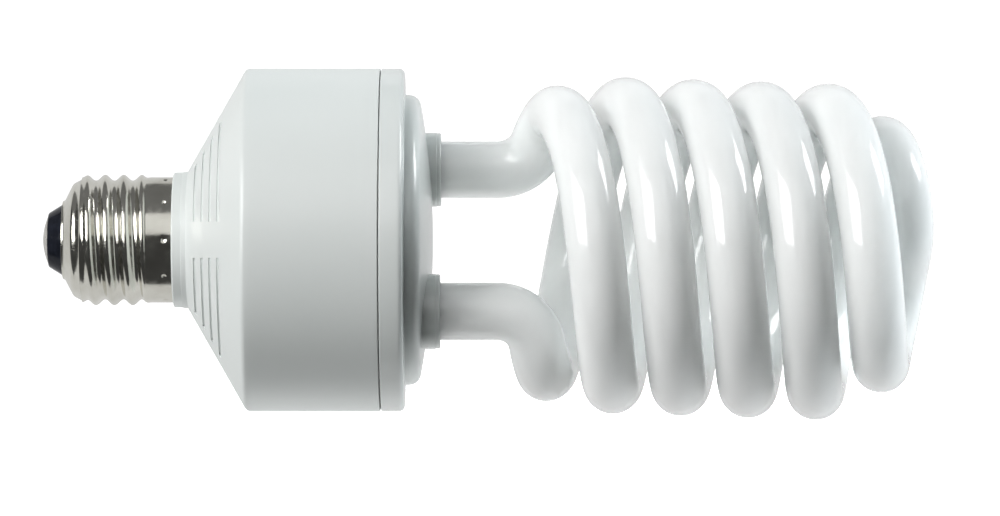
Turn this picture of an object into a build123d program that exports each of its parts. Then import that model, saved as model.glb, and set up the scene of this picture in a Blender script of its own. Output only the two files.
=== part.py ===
from build123d import *
import math
import os

# Spiral fluorescent lamp for photography, with an Edison screw cap. Millimetres.
# X runs along the lamp from the screw cap to the crown of the glass, Z is up and -Y faces the viewer.
# The origin is on the axis, where the screw shell meets the neck of the ballast housing.

# Screw cap
crest_radius = 13.1  # outside of the cap's knuckle thread, which the plain wall stands for
skirt_radius = 12.55  # plain band of the shell beside the neck
skirt_length = 5.4
thread_length = 11.5
shoulder_length = 4.7  # from the threaded wall to the lip
shoulder_bulge = 0.45
lip_radius = 7.6
lip_hole_radius = 7.2
shell_wall = 0.3
dimple_count = 10  # punch marks that stake the shell to the housing
dimple_radius = 0.6
dimple_depth = 0.2
dimple_x = -1.5
insulator_length = 2.9  # the part that stands out of the shell
insulator_end_radius = 5.4
insulator_flange = 1.2  # how far the insulator spreads behind the lip
insulator_seat = 2.0  # its thickness behind the lip
insulator_hole_radius = 1.6
contact_radius = 4.9
contact_dome = 1.1
contact_barrel_wall = 0.4
contact_barrel_reach = 1.2  # how far the riveted barrel stands out behind the insulator
fit_clearance = 0.05  # between pieces that are pressed, cast or cemented together
past = 1.0  # how far a cutter reaches past what it cuts
overlap = 0.1  # how far joined shapes run into each other
same = 0.001  # lengths that differ by less are the same
live_entry = 1.0  # how far the live lead enters the barrel

# Ballast housing
wall = 1.8
neck_radius = 13.5
neck_length = 3.0
neck_chamfer = 0.5
spigot_length = 8.0  # the sleeve that the screw shell is staked to
spigot_wall = 1.5
cone_start_radius = 13.95
cone_length = 11.6
drum_radius = 34.25
drum_corner = 1.2
housing_length = 41.2
slot_count = 4  # slots in each group on the cone
slot_first = 4.76  # X of the slot nearest the neck
slot_step = 1.66
slot_width = 0.5
slot_groups = 5
web_width = 7.2  # plain web between two groups of slots
rib_count = 4
rib_width = 2.4
rib_depth = 2.0
rib_start = 18.0

# Cover that carries the glass
seam_gap = 0.4
rim_length = 4.6
rim_fillet = 1.1
plinth_radius = 29.0
plinth_height = 3.7
plinth_fillet = 2.2
dome_height = 1.9
skirt_wall = 1.4
skirt_reach = 4.4  # how far the cover's skirt enters the drum
skirt_clearance = 0.15
lug_count = 4
lug_angle = 24.0
lug_height = 0.4
lug_length = 1.2
lug_setback = 1.2  # from the skirt's end to the lug
lug_clearance = 0.1
socket_radius = 7.45
socket_height = 3.45  # of the mouths above the plinth
socket_chamfer = 0.35
socket_clearance = 0.25

# Glass tube
tube_radius = 5.7
leg_up = 14.2  # height of the upper leg above the axis, and of the lower one below it
leg_back = 11.3  # the upper leg stands this far behind the axis, the lower one in front
leg_depth = 8.0  # of the legs' ends below the plinth's top
leg_rise = 14.7  # from the plinth's top to where the legs start to bend
helix_radius = 28.0
helix_pitch = 27.1  # advance of each strand in a turn
helix_rise = 25.6  # from the plinth's top to the upper strand's first top, before the lean
entry_radius = 25.9  # the winding starts this far from the axis
entry_angle = 120.0  # and opens out over this turn
strand_turns = 2.5  # of each strand, up to where the crown begins
crown_radius = 20.4  # of the winding where the crown begins
crown_turn = 60.0  # from there to the middle of the crossing
crown_rise = 96.1  # from the plinth's top to the middle of the crossing
crown_bow = 71.0  # radius of the arch that the crossing makes seen from the side
blend = 0.6  # softness of the change from the winding to the arch
draw_in = 14  # sharpness of the change from the winding's radius to the crown's
lean_down = 1.75  # degrees that the winding sags about the mouths of the sockets
lean_back = 1.6
slant_down = 0.65  # degrees that the turns slant more than the winding's axis
slant_back = 1.7
knot_step = 60.0  # degrees of winding between two knots of the centre line
crown_knots = (0.5, 0.0, -0.5, -0.72)  # the last knots, in shares of the crown's turn before it begins

# Cement that holds the legs
cement_radius = 8.6
cement_length = 4.5

# Circuit board and pins
board_gap = 0.55  # between the board's edge and the drum's bore
board_thickness = 1.6
board_clearance = 0.1
pin_side = 1.0
pin_height = 2.6
pin_spacing = 6.8  # between the two pins of a leg
lead_radius = 0.3
lead_tail = 1.0  # length of a lead past the board
lead_root = 0.5  # how far a lead starts inside its component
hole_clearance = 0.1
hole_reach = 0.01  # how far past the board the sections for its holes are taken
filament_spacing = 3.0  # between the two wires of a leg, in the glass
filament_straight = 0.8  # from the leg's end to the wire's bend

# Components on the board, each given by its sizes and by its (y, z) place
can_radius = 6.5
can_height = 21.0
can_base_bevel = 0.4
can_bead_x = 1.6  # from the base to the bead
can_bead_half = 0.8
can_bead_depth = 0.7
can_end_bevel = 0.6
can_rim_width = 0.8
can_dish = 0.3
can_dish_edge = 0.2  # how far the dish's edge slopes in
can_lead_spacing = 5.0
can_place = (9.0, -9.0)
choke_width = 19.0
choke_depth = 15.0
choke_height = 15.6
choke_leg = 3.6  # of the two outer core legs
choke_yoke = 3.4
choke_post_radius = 2.6
choke_flange = 0.8  # thickness of the bobbin's flanges and tube
choke_winding_gap = 0.6  # from the winding to the outer legs
choke_base_height = 1.2
choke_pin_side = 0.6
choke_pin_spacing = (12.0, 15.2)  # between the base's pins, in Y and in Z
choke_place = (-11.5, 2.0)
toroid_radius = 5.0
toroid_hole_radius = 2.6
toroid_height = 4.6
toroid_bend = 0.45  # radius of the wire's bends over the ring
toroid_place = (4.6, 9.4)
bobbin_radius = 4.6
bobbin_height = 10.0
bobbin_flange = 1.4
bobbin_waist_radius = 2.07
bobbin_winding_radius = 4.14
bobbin_place = (20.0, 6.0)
transistor_standoff = 3.2
transistor_height = 9.2
transistor_thickness = 4.4
transistor_width = 10.0
transistor_leg = (0.5, 0.8)
transistor_pitch = 2.54
tab_thickness = 1.3
tab_height = 15.4  # of its top above the body's foot
tab_foot = 9.0  # of its lower end above the body's foot
tab_hole_height = 12.6
tab_hole_radius = 1.8
transistor_places = ((-4.0, -20.5), (-13.5, -19.0))
film_places = ((20.6, -9.0, 0.0), (-4.0, 18.6, 90.0), (-16.4, 17.0, 90.0))
film_sizes = ((12.0, 5.4, 10.0), (12.0, 5.0, 9.5), (7.6, 3.6, 7.0))  # length, thickness and height
film_rounding = (2.16, 2.0, 1.44)
film_lead_spacing = (8.64, 8.64, 5.472)
diode_radius = 1.35
diode_height = 5.2
diode_ring = 24.2
diode_angles = (22.0, 32.0, 42.0, 52.0)
resistor_radius = 1.2
resistor_height = 6.3
resistor_places = ((-24.5, 4.5), (-24.5, -0.5), (-24.3, -5.5), (-22.6, 9.5))
thermistor_radius = 4.2
thermistor_thickness = 3.0
thermistor_lead_spacing = 5.0
thermistor_place = (9.0, -21.6)
diac_radius = 0.95
diac_height = 3.8
diac_place = (-0.2, -1.6)
standoff = 0.8  # of upright components above the board
lead_rise = 0.6  # of a bent lead above its component, before the bend
lead_side = 1.5  # from an upright component's side to its bent lead

# Lead wires from the cap
wire_radius = 0.75
live_place = (4.0, -0.2)
neutral_place = (0.4, -12.6)
wire_bend_start = 8.0  # X where the live lead leaves the axis
wire_bend_end = 24.0  # X where both leads are in line with their holes
neutral_bend_start = 12.0
neutral_reach = 6.0  # of the neutral lead past the housing's sleeve, along the shell
neutral_straight = 1.5
neutral_gap = 0.5  # from the sleeve's bore to the neutral lead
neutral_entry = 1.0  # from the sleeve's end to where the lead runs along its bore
fuse_radius = 1.7
fuse_length = 9.0


def turned(outline):
    """A solid of revolution about X from its outline of (x, radius) points."""
    return revolve(make_face(Polyline(*outline, close=True)), Axis.X)


def bar(x_start, x_end, radius, y=0.0, z=0.0):
    """A round bar along X between two values of x."""
    return extrude(Plane(origin=(x_start, y, z), z_dir=(1, 0, 0)) * Circle(radius), x_end - x_start)


def block(x_start, x_end, y_size, z_size, y=0.0, z=0.0):
    """A square bar along X between two values of x, centred on y and z."""
    return Pos((x_start + x_end) / 2, y, z) * Box(x_end - x_start, y_size, z_size)


def spaced(count):
    """Turns about X that share out a full circle, from the side that faces the viewer."""
    return [Rot(90 + 360 * i / count, 0, 0) for i in range(count)]


def circles_at(shape, radius, x):
    """The circular edges of a turned shape that have this radius, at this x."""
    circles = shape.edges().filter_by(GeomType.CIRCLE)
    return [e for e in circles if abs(e.radius - radius) < same and abs(e.center().X - x) < same]


def arcs_between(knot, next_knot):
    """Two tangent arcs, or one line, from a (point, heading) knot to the next."""
    start, heading = knot
    end, next_heading = next_knot
    chord = end - start
    both = heading + next_heading
    spread = 2 * (1 - heading.dot(next_heading))
    if spread < 1e-9:
        return [Edge.make_line(start, end)]
    root = math.sqrt(chord.dot(both) ** 2 + spread * chord.dot(chord))
    reach = (root - chord.dot(both)) / spread
    middle = (start + end + (heading - next_heading) * reach) / 2
    middle_heading = middle - start - heading * reach
    first = Edge.make_tangent_arc(start, heading, middle)
    return [first, Edge.make_tangent_arc(middle, middle_heading, end)]


def round_bar(knots, radius):
    """A round bar along tangent arcs and lines through the knots, closed by its flat ends."""
    start, heading = knots[0]
    section = (Plane(origin=start, z_dir=heading) * Circle(radius)).face()
    first = section
    skin = []
    for knot, next_knot in zip(knots, knots[1:]):
        for edge in arcs_between(knot, next_knot):
            if edge.geom_type == GeomType.CIRCLE:
                inward = edge.arc_center - edge @ 0
                hinge = Axis(edge.arc_center, (edge % 0).cross(inward))
                piece = revolve(section, hinge, math.degrees(edge.length / edge.radius))
            else:
                piece = extrude(section, edge.length, edge % 0)
            section = piece.faces().filter_by(GeomType.PLANE).sort_by_distance(edge @ 1)[0]
            skin += [face for face in piece.faces() if face.geom_type != GeomType.PLANE]
    return Solid(Shell([first, *skin, section]))


# Worked out from the sizes above
lip_x = -(skirt_length + crest_radius - skirt_radius + thread_length + shoulder_length)
spigot_radius = skirt_radius - shell_wall - fit_clearance
spigot_bore = spigot_radius - spigot_wall
drum_start = neck_length + cone_length
cone_slope = (drum_radius - cone_start_radius) / cone_length
cone_inner_drop = wall * math.hypot(1, cone_slope)  # how much smaller the cone is inside, at the same x
drum_bore = drum_radius - wall
cover_start = housing_length + seam_gap
plinth_x = cover_start + rim_length
plinth_top = plinth_x + plinth_height
socket_top = plinth_top + socket_height
leg_start = plinth_top - leg_depth
leg_end = plinth_top + leg_rise
helix_start = plinth_top + helix_rise
crown_x = plinth_top + crown_rise
skirt_radius_outer = drum_bore - skirt_clearance
skirt_end = housing_length - skirt_reach
lug_x = skirt_end + lug_setback
board_top = skirt_end - board_clearance
board_face = board_top - board_thickness  # the side that carries the components
board_radius = drum_bore - board_gap


def shell_profile(inset):
    """Half section of the screw shell's outside, moved in by the inset, closed along the axis."""
    crest_x = -(skirt_length + crest_radius - skirt_radius)
    start = (crest_x - thread_length, crest_radius - inset)
    end = (lip_x + inset, lip_radius)
    skirt = skirt_radius - inset
    side = Polyline((0, 0), (0, skirt), (-skirt_length, skirt), (crest_x, start[1]), start)
    shoulder = SagittaArc(start, end, -shoulder_bulge)
    closing = Polyline(end, (lip_x + inset, 0), (0, 0))
    return make_face(side + shoulder + closing)


def make_screw_shell():
    """Drawn metal cup: plain skirt, wall at the thread's crest, round shoulder and open lip."""
    cup = revolve(shell_profile(0), Axis.X) - revolve(shell_profile(shell_wall), Axis.X)
    cup -= bar(lip_x - shell_wall, lip_x + 2 * shell_wall, lip_hole_radius)
    punch = Pos(dimple_x, 0, skirt_radius - dimple_depth + dimple_radius) * Sphere(dimple_radius)
    turns = [Rot(360 * (i + 0.5) / dimple_count, 0, 0) for i in range(dimple_count)]
    return cup - [turn * punch for turn in turns]


def make_cap_insulator():
    """Glass plug in the shell's lip, spread behind it, with a hole for the contact's barrel."""
    neck = lip_hole_radius - fit_clearance
    behind = lip_x + shell_wall + fit_clearance
    return turned(
        [
            (lip_x - insulator_length, insulator_hole_radius),
            (lip_x - insulator_length, insulator_end_radius),
            (lip_x, neck),
            (behind, neck),
            (behind + insulator_seat, neck - insulator_flange),
            (behind + insulator_seat, insulator_hole_radius),
        ]
    )


def make_centre_contact():
    """Domed metal disc with a hollow barrel riveted through the insulator."""
    face_x = lip_x - insulator_length
    barrel = insulator_hole_radius - fit_clearance
    end_x = lip_x + shell_wall + insulator_seat + contact_barrel_reach
    tip = (face_x - contact_dome, 0)
    side = Polyline(tip, (end_x, 0), (end_x, barrel), (face_x, barrel), (face_x, contact_radius))
    dome = TangentArc(tip, (face_x, contact_radius), tangent=(0, 1))
    return revolve(make_face(side + dome), Axis.X) - bar(face_x, end_x + past, barrel - contact_barrel_wall)


def slot_tools():
    """Thin rings square to the axis that cut the cone's slots, less the webs between the groups."""
    rings = []
    for i in range(slot_count):
        x = slot_first + i * slot_step
        radius = cone_start_radius + cone_slope * (x - neck_length)
        ring = bar(x - slot_width / 2, x + slot_width / 2, radius + wall)
        rings.append(ring - bar(x - slot_width, x + slot_width, radius - cone_inner_drop - wall))
    web = Pos(0, 0, drum_radius / 2) * Box(3 * drum_radius, web_width, drum_radius)
    return [ring - [turn * web for turn in spaced(slot_groups)] for ring in rings]


def make_lower_housing():
    """Moulded shell: sleeve for the screw shell, neck, slotted cone and drum with ribs for the board."""
    cone_inner_start = cone_start_radius - cone_inner_drop
    bore_x = neck_length + (spigot_bore - cone_inner_start) / cone_slope
    inner_x = neck_length + (drum_bore - cone_inner_start) / cone_slope
    shell = turned(
        [
            (-spigot_length, spigot_bore),
            (-spigot_length, spigot_radius - neck_chamfer),
            (neck_chamfer - spigot_length, spigot_radius),
            (0, spigot_radius),
            (0, neck_radius - neck_chamfer),
            (neck_chamfer, neck_radius),
            (neck_length, neck_radius),
            (neck_length, cone_start_radius),
            (drum_start, drum_radius),
            (housing_length, drum_radius),
            (housing_length, drum_bore),
            (inner_x, drum_bore),
            (bore_x, spigot_bore),
        ]
    )
    shell = fillet(circles_at(shell, drum_radius, drum_start), drum_corner)
    inner = drum_bore - rib_depth
    deep = rib_depth + wall / 2
    rib = block(rib_start, board_face - board_clearance, rib_width, deep, z=inner + deep / 2)
    ribs = [Rot(45, 0, 0) * turn * rib for turn in spaced(rib_count)]
    lug_groove = turned(
        [
            (lug_x - lug_clearance, drum_bore - past),
            (lug_x - lug_clearance, drum_bore + lug_height),
            (lug_x + lug_length + lug_clearance, drum_bore + lug_height),
            (lug_x + lug_length + lug_clearance, drum_bore - past),
        ]
    )
    return shell - slot_tools() + ribs - lug_groove


def make_top_cover():
    """Moulded cover: skirt with snap lugs, rim, raised plinth with a low dome, and a socket for each leg."""
    skirt_inner = skirt_radius_outer - skirt_wall
    rim = Polyline(
        (plinth_top + dome_height, 0),
        (plinth_top - wall, 0),
        (plinth_top - wall, plinth_radius - wall),
        (plinth_x - wall, plinth_radius - wall),
        (plinth_x - wall, skirt_inner),
        (skirt_end, skirt_inner),
        (skirt_end, skirt_radius_outer),
        (cover_start, skirt_radius_outer),
        (cover_start, drum_radius),
        (plinth_x, drum_radius),
        (plinth_x, plinth_radius),
        (plinth_top, plinth_radius),
    )
    dome = TangentArc((plinth_top + dome_height, 0), (plinth_top, plinth_radius), tangent=(0, 1))
    cover = revolve(make_face(rim + dome), Axis.X)
    cover = fillet(circles_at(cover, drum_radius, plinth_x), rim_fillet)
    cover = fillet(circles_at(cover, plinth_radius, plinth_top), plinth_fillet)
    lug_outline = Polyline(
        (lug_x, skirt_radius_outer - skirt_wall / 2),
        (lug_x, skirt_radius_outer + lug_clearance),
        (lug_x + lug_length, skirt_radius_outer + lug_height),
        (lug_x + lug_length, skirt_radius_outer - skirt_wall / 2),
        close=True,
    )
    lug = revolve(make_face(lug_outline), Axis.X, lug_angle)
    cover += [turn * lug for turn in spaced(lug_count)]
    for side in (1, -1):
        y, z = side * leg_back, side * leg_up
        socket = bar(plinth_top - wall, socket_top, socket_radius, y, z)
        cover += chamfer(socket.edges().filter_by(GeomType.CIRCLE).sort_by(Axis.X)[-1], socket_chamfer)
    for side in (1, -1):
        y, z = side * leg_back, side * leg_up
        hole = bar(plinth_top - 2 * wall, socket_top + past, tube_radius + socket_clearance, y, z)
        cover -= hole
    return cover


# The winding's turns in degrees, and how fast the crown draws in
last_turn = 360 * strand_turns
crown_end = last_turn + crown_turn
crown_rate = crown_radius**2 / math.radians(crown_turn)


def strand_point(angle):
    """A point of the upper strand's centre line, by its turn from the first top, before it leans."""
    opened = math.sin(math.radians(90 * min(angle / entry_angle, 1))) ** 2
    wound = entry_radius + (helix_radius - entry_radius) * opened
    drawn_in = math.sqrt(crown_rate * math.radians(crown_end - angle))
    radius = (wound**-draw_in + drawn_in**-draw_in) ** (-1 / draw_in)
    y = -radius * math.sin(math.radians(angle))
    z = radius * math.cos(math.radians(angle))
    wound_x = helix_start + helix_pitch * angle / 360
    arch_x = crown_x - z**2 / (2 * crown_bow)
    x = -blend * math.log(math.exp(-wound_x / blend) + math.exp(-arch_x / blend))
    return Vector(x, y, z)


def strand_knot(angle):
    """A point of the centre line with its heading."""
    return strand_point(angle), (strand_point(angle + 0.1) - strand_point(angle - 0.1)).normalized()


def opposite(knot):
    """The same knot on the other strand, half a turn about the axis away and passed the other way."""
    point, heading = knot
    return Vector(point.X, -point.Y, -point.Z), Vector(-heading.X, heading.Y, heading.Z)


def leaned_point(point):
    """The point where the glass really has it: its turns slant, and its axis leans out of the sockets."""
    share = (math.hypot(point.Y, point.Z) / helix_radius) ** 3
    slant = point.Z * math.tan(math.radians(slant_down)) - point.Y * math.tan(math.radians(slant_back))
    lean = Pos(socket_top, 0, 0) * Rot(0, lean_down, lean_back) * Pos(-socket_top, 0, 0)
    return (lean * Pos(point.X + share * slant, point.Y, point.Z)).position


def leaned(knot):
    """The knot where the glass really has it."""
    point, heading = knot
    here = leaned_point(point)
    return here, (leaned_point(point + heading) - here).normalized()


def tube_knots():
    """The centre line: upper leg, upper strand, crossing, lower strand and lower leg."""
    straight = round((last_turn - knot_step) / knot_step)
    angles = [i * knot_step for i in range(straight + 1)]
    angles += [last_turn - share * crown_turn for share in crown_knots]
    strand = [strand_knot(angle) for angle in angles]
    slope = math.radians(crown_turn)
    middle = (Vector(crown_x, 0, 0), Vector(0, -math.sin(slope), math.cos(slope)))
    wound = [leaned(knot) for knot in [*strand, middle, *[opposite(knot) for knot in reversed(strand)]]]
    leg = [(Vector(x, leg_back, leg_up), Vector(1, 0, 0)) for x in (leg_start, leg_end)]
    return [*leg, *wound, *[opposite(knot) for knot in reversed(leg)]]


def make_glass_tube():
    """One bent glass tube: two legs, two strands wound side by side, and the crossing at the crown."""
    return round_bar(tube_knots(), tube_radius)


def make_tube_cement(side):
    """Ring of cement round a leg, against the underside of the cover."""
    end = plinth_top - wall
    y, z = side * leg_back, side * leg_up
    ring = bar(end - cement_length, end, cement_radius, y, z)
    return ring - bar(end - cement_length - past, end + past, tube_radius + fit_clearance, y, z)


def upright_lead(body_top, spread):
    """The bent lead of an upright component: up out of its top, over, and down beside it."""
    bend = body_top + lead_rise
    up, down, over = Vector(-1, 0, 0), Vector(1, 0, 0), Vector(0, 1, 0)
    knots = [
        (Vector(lead_root - body_top, 0, 0), up),
        (Vector(-bend, 0, 0), up),
        (Vector(-bend - spread / 2, spread / 2, 0), over),
        (Vector(-bend, spread, 0), down),
        (Vector(board_thickness + lead_tail, spread, 0), down),
    ]
    return round_bar(knots, lead_radius)


def straight_leads(spots, foot=standoff):
    """Leads from inside a component's foot, at the given (y, z) spots, down through the board."""
    return [bar(-foot - lead_root, board_thickness + lead_tail, lead_radius, y, z) for y, z in spots]


def upright_part(radius, height):
    """A small round component that stands on end, with one lead below and one bent over."""
    body = bar(-standoff - height, -standoff, radius)
    return body + upright_lead(standoff + height, radius + lead_side) + straight_leads([(0, 0)])


def make_can():
    """Electrolytic capacitor: sleeved can with a beaded neck near its base and a dished end."""
    rim = can_radius - can_end_bevel - can_rim_width
    can = turned(
        [
            (0, 0),
            (0, can_radius - can_base_bevel),
            (-can_bead_x, can_radius),
            (-can_bead_x - can_bead_half, can_radius - can_bead_depth),
            (-can_bead_x - 2 * can_bead_half, can_radius),
            (can_end_bevel - can_height, can_radius),
            (-can_height, can_radius - can_end_bevel),
            (-can_height, rim),
            (can_dish - can_height, rim - can_dish_edge),
            (can_dish - can_height, 0),
        ]
    )
    return can + straight_leads([(0, can_lead_spacing / 2), (0, -can_lead_spacing / 2)], 0)


def make_choke_core():
    """Ferrite core of the ballast choke: a square frame with a round post through the coil."""
    low, high = choke_yoke - choke_height, -choke_base_height - choke_yoke
    outer = block(-choke_height, -choke_base_height, choke_depth / 2, choke_width)
    window = block(low, high, choke_depth, choke_width - 2 * choke_leg)
    return outer - window + bar(low - overlap, high + overlap, choke_post_radius)


def choke_coil_span():
    """The x limits of the space between the core's yokes, less the clearance."""
    return choke_yoke + fit_clearance - choke_height, -choke_base_height - choke_yoke - fit_clearance


def make_choke_bobbin():
    """Moulded bobbin round the core's post: a tube with two flanges."""
    low, high = choke_coil_span()
    half = choke_width / 2 - choke_leg - fit_clearance
    tube = bar(low, high, choke_post_radius + fit_clearance + choke_flange)
    flanges = [bar(low, low + choke_flange, half), bar(high - choke_flange, high, half)]
    return tube + flanges - bar(low - past, high + past, choke_post_radius + fit_clearance)


def make_choke_winding():
    """Coil between the bobbin's flanges, drawn as its outer form."""
    low, high = choke_coil_span()
    half = choke_width / 2 - choke_leg - choke_winding_gap
    inner = choke_post_radius + choke_flange + 2 * fit_clearance
    near = low + choke_flange + fit_clearance
    far = high - choke_flange - fit_clearance
    return bar(near, far, half) - bar(near - past, far + past, inner)


def make_choke_base():
    """Moulded base under the core, with four square pins through the board."""
    base = block(fit_clearance - choke_base_height, 0, choke_depth, choke_width)
    pin_y, pin_z = (spacing / 2 for spacing in choke_pin_spacing)
    spots = [(y * pin_y, z * pin_z) for y in (1, -1) for z in (1, -1)]
    side = choke_pin_side
    return base + [block(-lead_root, board_thickness + lead_tail, side, side, y, z) for y, z in spots]


def make_toroid_core():
    """Ferrite ring of the drive transformer, lying on the board."""
    top = -standoff - toroid_height
    return bar(top, -standoff, toroid_radius) - bar(top - past, past - standoff, toroid_hole_radius)


def make_toroid_winding(index):
    """A few turns of wire round the ring, with both ends through the board."""
    gap = lead_radius + fit_clearance
    inner, outer = toroid_hole_radius - gap, toroid_radius + gap
    high = -standoff - toroid_height - gap
    up, down, out, back = Vector(-1, 0, 0), Vector(1, 0, 0), Vector(0, 0, 1), Vector(0, 0, -1)
    bend = toroid_bend
    knots = [
        (Vector(board_thickness + lead_tail, 0, outer), up),
        (Vector(high + bend, 0, outer), up),
        (Vector(high, 0, outer - bend), back),
        (Vector(high, 0, inner + bend), back),
        (Vector(high + bend, 0, inner), down),
        (Vector(board_thickness + lead_tail, 0, inner), down),
    ]
    return Rot(120 * index, 0, 0) * round_bar(knots, lead_radius)


def make_inductor_core():
    """Ferrite drum of the filter inductor: a waist between two flanges."""
    flanges = [bar(x, x + bobbin_flange, bobbin_radius) for x in (-bobbin_height, -bobbin_flange)]
    return bar(-bobbin_height, 0, bobbin_waist_radius) + flanges


def make_inductor_winding():
    """Coil in the drum's waist, drawn as its outer form."""
    gap = bobbin_flange + fit_clearance
    coil = bar(gap - bobbin_height, -gap, bobbin_winding_radius)
    return coil - bar(-bobbin_height, 0, bobbin_waist_radius + fit_clearance)


def make_transistor():
    """Flat power transistor on three legs, with its metal tab."""
    foot = -transistor_standoff
    body = block(foot - transistor_height, foot, transistor_thickness, transistor_width)
    tab_y = (transistor_thickness - tab_thickness) / 2
    tab = block(foot - tab_height, foot - tab_foot, tab_thickness, transistor_width, y=tab_y)
    hole = Rot(90, 0, 0) * Cylinder(tab_hole_radius, 2 * tab_thickness)
    hole = Pos(foot - tab_hole_height, tab_y, 0) * hole
    pitches = (-transistor_pitch, 0, transistor_pitch)
    legs = [block(foot - lead_root, board_thickness + lead_tail, *transistor_leg, z=z) for z in pitches]
    return body + tab - hole + legs


def make_film_capacitor(size, rounding, lead_spacing):
    """Dipped film capacitor: a rounded block on two leads."""
    long, thick, tall = size
    body = block(-standoff - tall, -standoff, thick, long)
    body = fillet(body.edges().filter_by(Axis.X), rounding)
    return body + straight_leads([(0, lead_spacing / 2), (0, -lead_spacing / 2)])


def make_thermistor():
    """Round flat thermistor standing on its two leads."""
    disc = Rot(90, 0, 0) * Cylinder(thermistor_radius, thermistor_thickness)
    spot = thermistor_lead_spacing / 2
    centre = standoff + thermistor_radius
    return Pos(-centre, 0, 0) * disc + straight_leads([(0, spot), (0, -spot)], centre)


def set_on_board(shape, y, z, turn=0.0):
    """A component set on the board's face, turned about its own upright line."""
    return Pos(board_face, y, z) * Rot(turn, 0, 0) * shape


def make_wrap_pin(y, z):
    """Square pin through the board, that a wire of the glass is wrapped on."""
    return block(board_face, board_top + pin_height, pin_side, pin_side, y, z)


def make_filament_lead(y, z, side):
    """Wire out of a leg's end, bent aside and down to the foot of its pin."""
    start_y = y + side * filament_spacing / 2
    end_y = y + side * (pin_spacing / 2 - pin_side / 2 - lead_radius - fit_clearance)
    down = Vector(-1, 0, 0)
    knots = [
        (Vector(leg_start, start_y, z), down),
        (Vector(leg_start - filament_straight, start_y, z), down),
        (Vector(board_top + pin_height, end_y, z), down),
        (Vector(board_top + fit_clearance, end_y, z), down),
    ]
    return round_bar(knots, lead_radius)


def make_live_lead():
    """Wire from the centre contact's barrel along the neck to the board."""
    out = Vector(1, 0, 0)
    y, z = live_place
    start = lip_x + shell_wall + insulator_seat + contact_barrel_reach - live_entry
    knots = [
        (Vector(start, 0, 0), out),
        (Vector(wire_bend_start, 0, 0), out),
        (Vector(wire_bend_end, y, z), out),
        (Vector(board_face + board_thickness + lead_tail, y, z), out),
    ]
    return round_bar(knots, wire_radius)


def make_neutral_lead():
    """Wire from the screw shell's inner wall through the sleeve of the housing to the board."""
    out = Vector(1, 0, 0)
    y, z = neutral_place
    wall_z = -(crest_radius - shell_wall - wire_radius - fit_clearance)
    sleeve_z = -(spigot_bore - wire_radius - neutral_gap)
    start = -spigot_length - neutral_reach
    knots = [
        (Vector(start, 0, wall_z), out),
        (Vector(start + neutral_straight, 0, wall_z), out),
        (Vector(neutral_entry - spigot_length, 0, sleeve_z), out),
        (Vector(neutral_bend_start, 0, sleeve_z), out),
        (Vector(wire_bend_end, y, z), out),
        (Vector(board_face + board_thickness + lead_tail, y, z), out),
    ]
    return round_bar(knots, wire_radius)


def make_fuse_sleeve():
    """Heat-resistant sleeve over the fusible resistor in the live lead."""
    start, end = -spigot_length, fuse_length - spigot_length
    return bar(start, end, fuse_radius) - bar(start - past, end + past, wire_radius + fit_clearance)


def diode_places():
    """The rectifier diodes stand in an arc, each with its bent lead towards the board's edge."""
    places = []
    for angle in diode_angles:
        y = diode_ring * math.sin(math.radians(angle))
        z = diode_ring * math.cos(math.radians(angle))
        places.append((y, z, 90 - angle))
    return places


def board_holes(parts):
    """Cutters for the board, from what passes through it: each is that piece's own section, widened."""
    cutters = []
    board_square = (3 * board_radius, 3 * board_radius)
    for part in parts:
        through = part & block(board_face - hole_reach, board_top + hole_reach, *board_square)
        for piece in through.solids():
            box = piece.bounding_box()
            place = box.center()
            wide, tall = box.size.Y + 2 * hole_clearance, box.size.Z + 2 * hole_clearance
            if any(face.geom_type == GeomType.CYLINDER for face in piece.faces()):
                cutter = bar(board_face - past, board_top + past, wide / 2, place.Y, place.Z)
            else:
                cutter = block(board_face - past, board_top + past, wide, tall, place.Y, place.Z)
            cutters.append(cutter)
    return cutters


def make_circuit_board(parts):
    """Round board across the drum, drilled for the leads and pins."""
    return bar(board_face, board_top, board_radius) - board_holes(parts)


def make_components():
    """Every piece that stands on the board, by name."""
    y, z = choke_place
    pieces = {
        "bulk_capacitor": set_on_board(make_can(), *can_place),
        "choke_base": set_on_board(make_choke_base(), y, z),
        "choke_core": set_on_board(make_choke_core(), y, z),
        "choke_bobbin": set_on_board(make_choke_bobbin(), y, z),
        "choke_winding": set_on_board(make_choke_winding(), y, z),
        "drive_transformer_core": set_on_board(make_toroid_core(), *toroid_place),
        "filter_inductor_core": set_on_board(make_inductor_core(), *bobbin_place),
        "filter_inductor_winding": set_on_board(make_inductor_winding(), *bobbin_place),
        "preheat_thermistor": set_on_board(make_thermistor(), *thermistor_place, 90),
        "trigger_diode": set_on_board(upright_part(diac_radius, diac_height), *diac_place),
    }
    for i in range(3):
        pieces[f"drive_transformer_wire_{i + 1}"] = set_on_board(make_toroid_winding(i), *toroid_place)
    for i, place in enumerate(transistor_places):
        pieces[f"transistor_{i + 1}"] = set_on_board(make_transistor(), *place)
    for i, place in enumerate(film_places):
        film = make_film_capacitor(film_sizes[i], film_rounding[i], film_lead_spacing[i])
        pieces[f"film_capacitor_{i + 1}"] = set_on_board(film, *place)
    for i, place in enumerate(diode_places()):
        pieces[f"rectifier_diode_{i + 1}"] = set_on_board(upright_part(diode_radius, diode_height), *place)
    for i, place in enumerate(resistor_places):
        pieces[f"resistor_{i + 1}"] = set_on_board(upright_part(resistor_radius, resistor_height), *place)
    return pieces


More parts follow.
